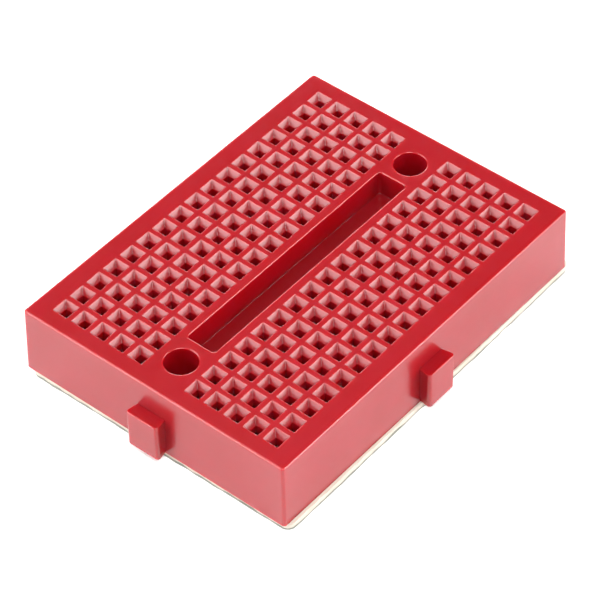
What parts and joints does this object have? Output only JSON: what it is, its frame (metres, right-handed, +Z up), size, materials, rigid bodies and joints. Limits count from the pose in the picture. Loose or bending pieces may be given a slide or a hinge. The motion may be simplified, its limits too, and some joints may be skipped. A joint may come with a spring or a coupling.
{
  "type": "solderless breadboard",
  "caption": "Small solderless breadboard: a moulded block of spring-clip tie points with a centre trench, mounting holes, dovetail link tabs and an adhesive foam base.",
  "frame": {"origin": "middle of the underside, on the plane that the board stands on, below the middle of the tie-point grid", "axes": "+X along the tie-point columns and the trench, +Y across the rows, +Z up out of the tie-point face"},
  "size_m": [0.0489, 0.0363, 0.0092],
  "materials": {
    "housing_plastic": "satin moulded ABS, red",
    "clip_metal": "plated spring bronze, bright",
    "foam": "closed-cell adhesive foam, off-white",
    "liner": "siliconised paper, off-white"
  },
  "bodies": {
    "board": {"housing": "housing_plastic", "contact_clip_ae_01": "clip_metal", "contact_clip_ae_02": "clip_metal", "contact_clip_ae_03": "clip_metal", "contact_clip_ae_04": "clip_metal", "contact_clip_ae_05": "clip_metal", "contact_clip_ae_06": "clip_metal", "contact_clip_ae_07": "clip_metal", "contact_clip_ae_08": "clip_metal", "contact_clip_ae_09": "clip_metal", "contact_clip_ae_10": "clip_metal", "contact_clip_ae_11": "clip_metal", "contact_clip_ae_12": "clip_metal", "contact_clip_ae_13": "clip_metal", "contact_clip_ae_14": "clip_metal", "contact_clip_ae_15": "clip_metal", "contact_clip_ae_16": "clip_metal", "contact_clip_ae_17": "clip_metal", "contact_clip_fj_01": "clip_metal", "contact_clip_fj_02": "clip_metal", "contact_clip_fj_03": "clip_metal", "contact_clip_fj_04": "clip_metal", "contact_clip_fj_05": "clip_metal", "contact_clip_fj_06": "clip_metal", "contact_clip_fj_07": "clip_metal", "contact_clip_fj_08": "clip_metal", "contact_clip_fj_09": "clip_metal", "contact_clip_fj_10": "clip_metal", "contact_clip_fj_11": "clip_metal", "contact_clip_fj_12": "clip_metal", "contact_clip_fj_13": "clip_metal", "contact_clip_fj_14": "clip_metal", "contact_clip_fj_15": "clip_metal", "contact_clip_fj_16": "clip_metal", "contact_clip_fj_17": "clip_metal", "foam_pad": "foam"},
    "liner": {"release_liner": "liner"}
  },
  "joints": [
    {"name": "liner_peel", "type": "slide", "parent": "board", "child": "liner", "axis": [1, 0, 0], "range_m": [0, 0.05]}
  ]
}
